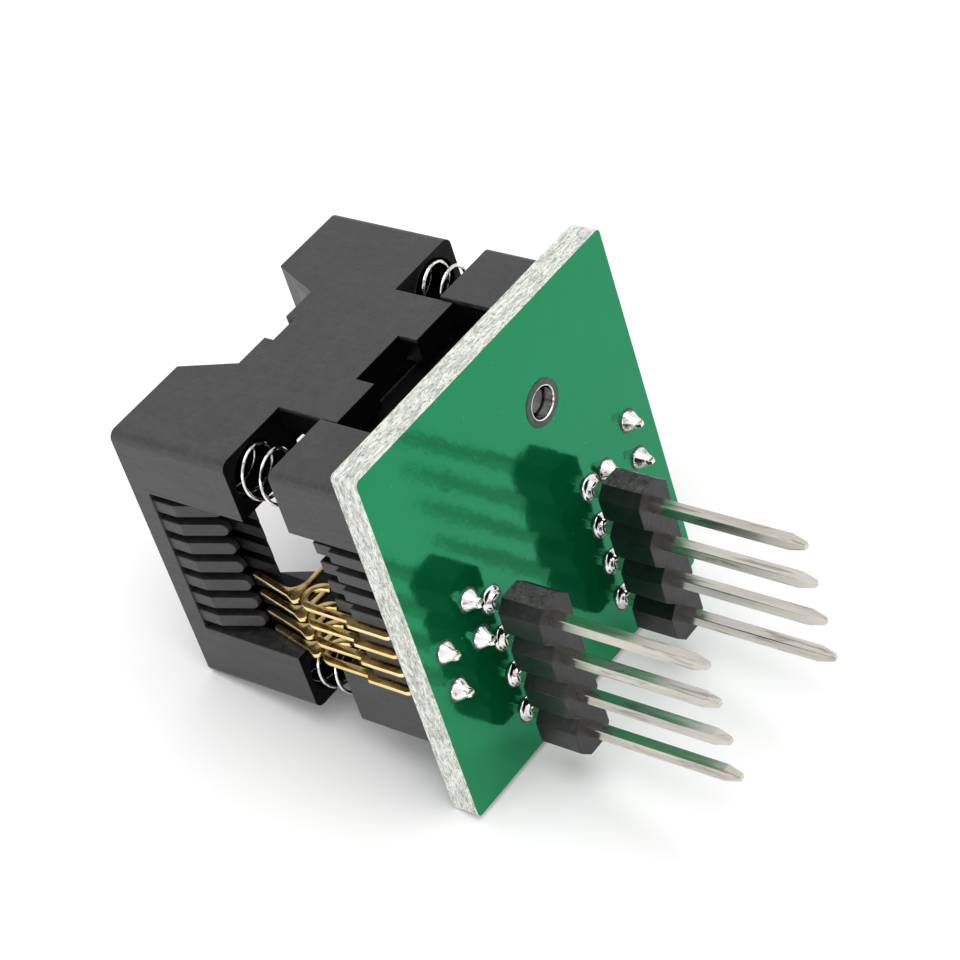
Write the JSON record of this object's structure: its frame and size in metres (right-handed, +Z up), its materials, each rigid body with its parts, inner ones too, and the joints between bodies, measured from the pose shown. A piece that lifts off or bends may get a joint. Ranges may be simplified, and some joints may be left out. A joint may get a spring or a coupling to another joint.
{
  "type": "ic socket adapter",
  "caption": "Open-top clamshell test socket for a small-outline chip, soldered to a small board whose long pin rows plug into a wider dual-in-line socket; the sprung cover opens its contacts.",
  "frame": {"origin": "centre of the bounding box on the table, with the adapter lying on its long side", "axes": "+X runs from the socket cover towards the pin tips, +Y across the two pin rows, +Z up from the table; the adapter's own axis leans 13.5 degrees in the XZ plane because it lies on the rear edges of its board and cover"},
  "size_m": [0.034, 0.0204, 0.0224],
  "materials": {
    "board": "glossy solder mask",
    "mould": "matt moulded",
    "header": "matt moulded",
    "pin": "tin plated",
    "solder": "bright",
    "contact": "gold plated",
    "ring": "tinned copper",
    "spring": "plain wire"
  },
  "bodies": {
    "base": {"board": "board", "hole_ring": "ring", "header_near": "header", "header_far": "header", "socket_base": "mould", "pin_near_1": "pin", "pin_near_2": "pin", "pin_near_3": "pin", "pin_near_4": "pin", "pin_solder_near_1": "solder", "pin_solder_near_2": "solder", "pin_solder_near_3": "solder", "pin_solder_near_4": "solder", "pin_far_1": "pin", "pin_far_2": "pin", "pin_far_3": "pin", "pin_far_4": "pin", "pin_solder_far_1": "solder", "pin_solder_far_2": "solder", "pin_solder_far_3": "solder", "pin_solder_far_4": "solder", "contact_stem_left_1": "contact", "contact_stem_left_2": "contact", "contact_stem_left_3": "contact", "contact_stem_left_4": "contact", "tail_solder_left_1": "solder", "tail_solder_left_2": "solder", "tail_solder_left_3": "solder", "tail_solder_left_4": "solder", "contact_stem_right_1": "contact", "contact_stem_right_2": "contact", "contact_stem_right_3": "contact", "contact_stem_right_4": "contact", "tail_solder_right_1": "solder", "tail_solder_right_2": "solder", "tail_solder_right_3": "solder", "tail_solder_right_4": "solder", "spring_left_ahead": "spring", "spring_left_back": "spring", "spring_right_ahead": "spring", "spring_right_back": "spring"},
    "cover": {"cover": "mould"},
    "lever_left_1": {"contact_lever_left_1": "contact"},
    "lever_left_2": {"contact_lever_left_2": "contact"},
    "lever_left_3": {"contact_lever_left_3": "contact"},
    "lever_left_4": {"contact_lever_left_4": "contact"},
    "lever_right_1": {"contact_lever_right_1": "contact"},
    "lever_right_2": {"contact_lever_right_2": "contact"},
    "lever_right_3": {"contact_lever_right_3": "contact"},
    "lever_right_4": {"contact_lever_right_4": "contact"}
  },
  "joints": [
    {"name": "cover_press", "type": "slide", "parent": "base", "child": "cover", "axis": [0.9725, 0, 0.2327], "range_m": [0, 0.0026], "stiffness_N_per_m": 900, "springref_m": -0.0015, "deforming": ["spring_left_ahead", "spring_left_back", "spring_right_ahead", "spring_right_back"]},
    {"name": "lever_swing_left_1", "type": "hinge", "parent": "base", "child": "lever_left_1", "pos_m": [-0.00652, -0.0092, 0.00956], "axis": [-0.2327, 0, 0.9725], "range_deg": [0, 15.05]},
    {"name": "lever_swing_left_2", "type": "hinge", "parent": "base", "child": "lever_left_2", "pos_m": [-0.00622, -0.0092, 0.00833], "axis": [-0.2327, 0, 0.9725], "range_deg": [0, 15.05]},
    {"name": "lever_swing_left_3", "type": "hinge", "parent": "base", "child": "lever_left_3", "pos_m": [-0.00593, -0.0092, 0.00709], "axis": [-0.2327, 0, 0.9725], "range_deg": [0, 15.05]},
    {"name": "lever_swing_left_4", "type": "hinge", "parent": "base", "child": "lever_left_4", "pos_m": [-0.00563, -0.0092, 0.00586], "axis": [-0.2327, 0, 0.9725], "range_deg": [0, 15.05]},
    {"name": "lever_swing_right_1", "type": "hinge", "parent": "base", "child": "lever_right_1", "pos_m": [-0.00652, 0.0089, 0.00956], "axis": [0.2327, 0, -0.9725], "range_deg": [0, 15.05]},
    {"name": "lever_swing_right_2", "type": "hinge", "parent": "base", "child": "lever_right_2", "pos_m": [-0.00622, 0.0089, 0.00833], "axis": [0.2327, 0, -0.9725], "range_deg": [0, 15.05]},
    {"name": "lever_swing_right_3", "type": "hinge", "parent": "base", "child": "lever_right_3", "pos_m": [-0.00593, 0.0089, 0.00709], "axis": [0.2327, 0, -0.9725], "range_deg": [0, 15.05]},
    {"name": "lever_swing_right_4", "type": "hinge", "parent": "base", "child": "lever_right_4", "pos_m": [-0.00563, 0.0089, 0.00586], "axis": [0.2327, 0, -0.9725], "range_deg": [0, 15.05]}
  ],
  "couplings": [
    {"joint": "lever_swing_left_1", "follows": "cover_press", "rad_per_m": 100.69},
    {"joint": "lever_swing_left_2", "follows": "cover_press", "rad_per_m": 100.69},
    {"joint": "lever_swing_left_3", "follows": "cover_press", "rad_per_m": 100.69},
    {"joint": "lever_swing_left_4", "follows": "cover_press", "rad_per_m": 100.69},
    {"joint": "lever_swing_right_1", "follows": "cover_press", "rad_per_m": 100.69},
    {"joint": "lever_swing_right_2", "follows": "cover_press", "rad_per_m": 100.69},
    {"joint": "lever_swing_right_3", "follows": "cover_press", "rad_per_m": 100.69},
    {"joint": "lever_swing_right_4", "follows": "cover_press", "rad_per_m": 100.69}
  ]
}
